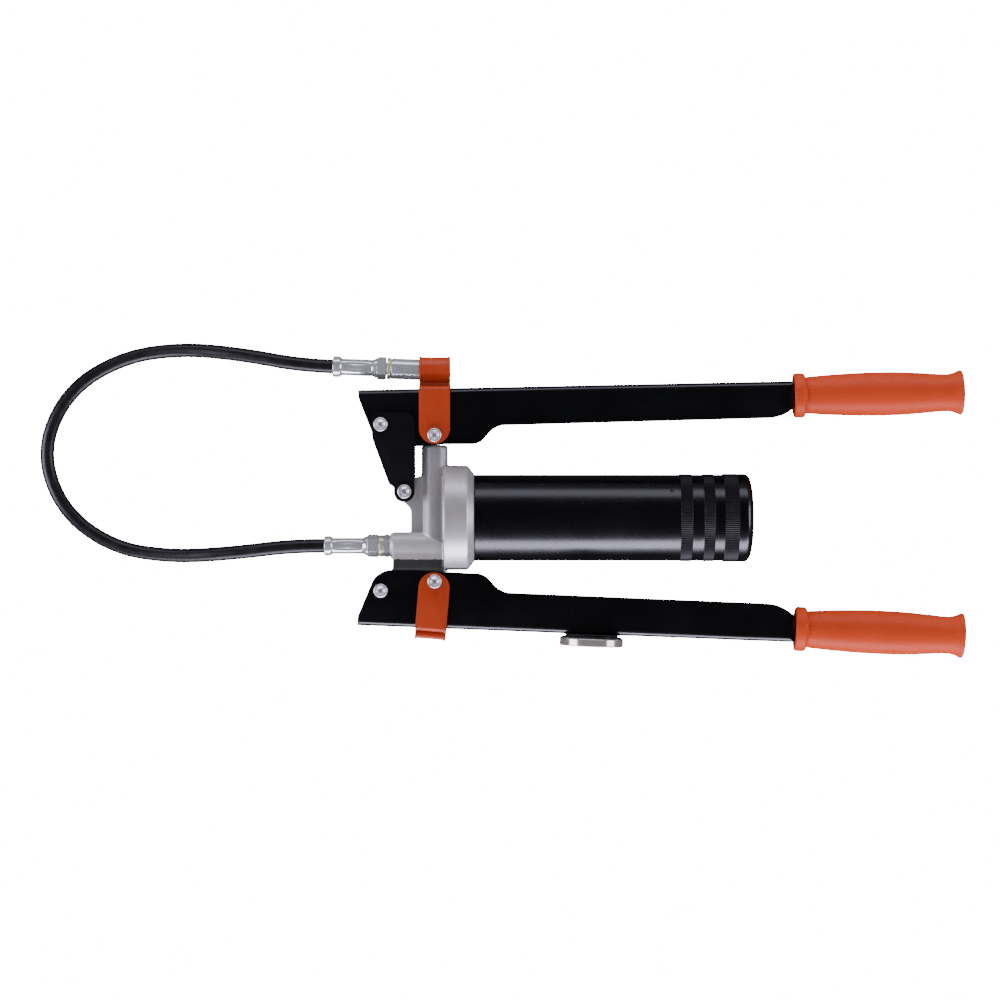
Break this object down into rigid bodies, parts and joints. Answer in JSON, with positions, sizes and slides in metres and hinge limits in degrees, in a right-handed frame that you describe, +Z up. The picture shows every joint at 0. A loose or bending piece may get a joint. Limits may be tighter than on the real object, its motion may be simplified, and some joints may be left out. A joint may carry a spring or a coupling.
{
  "type": "grease gun",
  "caption": "Two-handed lever grease gun with a screw-in cartridge tube, cast pump head, gripped levers, a magnet holder and a delivery hose clipped back to the lever.",
  "frame": {"origin": "middle of the gun's footprint as it lies on its side, without the hose and what is on it, on the surface it lies on", "axes": "+X along the tube from the pump head to the grips, +Y across the gun from the fixed lever to the moving lever, +Z up from the surface"},
  "size_m": [0.705, 0.2393, 0.079],
  "materials": {
    "die_casting": "matt as-cast, light satin",
    "black_enamel": "gloss black enamel on pressed steel",
    "black_gloss": "gloss black enamel on steel tube",
    "orange_enamel": "satin orange powder coat",
    "orange_grip": "satin soft grip",
    "bright_zinc": "bright zinc plate",
    "yellow_zinc": "pale yellow zinc plate",
    "nickel_plate": "bright nickel plate",
    "ferrite": "ground ferrite",
    "hose_rubber": "satin black hose cover",
    "seal_rubber": "matt nitrile rubber",
    "spring_steel": "oiled hardened steel",
    "cartridge_plastic": "natural polyethylene",
    "black_plastic": "matt black plastic"
  },
  "bodies": {
    "head": {"head_casting": "die_casting", "barrel_seal": "seal_rubber", "link_rivet": "bright_zinc", "fixed_lever": "black_enamel", "fixed_grip": "orange_grip", "fixed_front_rivet": "bright_zinc", "fixed_rear_rivet": "bright_zinc", "fixed_clip": "orange_enamel", "magnet_spacer": "black_plastic", "magnet_pot": "nickel_plate", "magnet_core": "ferrite", "magnet_screw": "bright_zinc", "magnet_nut": "bright_zinc", "outlet_adapter": "bright_zinc", "outlet_lock_ring": "yellow_zinc", "outlet_fitting": "bright_zinc", "outlet_ferrule": "bright_zinc", "hose": "hose_rubber", "check_spring": "spring_steel", "cartridge": "cartridge_plastic"},
    "link": {"link": "black_enamel", "fulcrum_rivet": "bright_zinc"},
    "moving_lever": {"moving_lever": "black_enamel", "moving_grip": "orange_grip", "coupler_clip": "orange_enamel", "plunger_rivet": "bright_zinc", "coupler_ferrule": "bright_zinc", "coupler_fitting": "bright_zinc", "coupler_lock_ring": "yellow_zinc", "coupler_sleeve": "bright_zinc", "coupler_core": "bright_zinc", "coupler_seal": "seal_rubber", "coupler_spring": "spring_steel"},
    "plunger": {"plunger": "spring_steel"},
    "jaws": {"coupler_jaws": "spring_steel"},
    "ball": {"check_ball": "spring_steel"},
    "gasket": {"tube_gasket": "seal_rubber"},
    "tube": {"tube": "black_gloss", "tube_end_cap": "black_gloss"},
    "follower": {"follower_piston": "cartridge_plastic"}
  },
  "joints": [
    {"name": "link_swing", "type": "hinge", "parent": "head", "child": "link", "pos_m": [-0.19424, 0.01224, 0.0395], "axis": [0, 0, 1], "range_deg": [-0.8, 0]},
    {"name": "lever_swing", "type": "hinge", "parent": "link", "child": "moving_lever", "pos_m": [-0.21214, 0.06274, 0.0395], "axis": [0, 0, 1], "range_deg": [0, 32], "deforming": ["hose"]},
    {"name": "plunger_slide", "type": "slide", "parent": "head", "child": "plunger", "axis": [0, 1, 0], "range_m": [0, 0.0226]},
    {"name": "tube_pull", "type": "slide", "parent": "head", "child": "gasket", "axis": [1, 0, 0], "range_m": [0, 0.24]},
    {"name": "tube_turn", "type": "hinge", "parent": "gasket", "child": "tube", "pos_m": [-0.14174, -0.00756, 0.0395], "axis": [1, 0, 0], "continuous": true},
    {"name": "follower_slide", "type": "slide", "parent": "head", "child": "follower", "axis": [-1, 0, 0], "range_m": [0, 0.155]},
    {"name": "ball_lift", "type": "slide", "parent": "head", "child": "ball", "axis": [-1, 0, 0], "range_m": [0, 0.002], "stiffness_N_per_m": 200, "springref_m": -0.002, "deforming": ["check_spring"]},
    {"name": "jaw_retract", "type": "slide", "parent": "moving_lever", "child": "jaws", "axis": [-0.9993, 0.0366, 0], "range_m": [0, 0.0008], "stiffness_N_per_m": 500, "springref_m": -0.002, "deforming": ["coupler_spring"]}
  ],
  "couplings": [
    {"joint": "link_swing", "follows": "lever_swing", "ratio": -0.024},
    {"joint": "plunger_slide", "follows": "lever_swing", "m_per_rad": 0.0403}
  ]
}
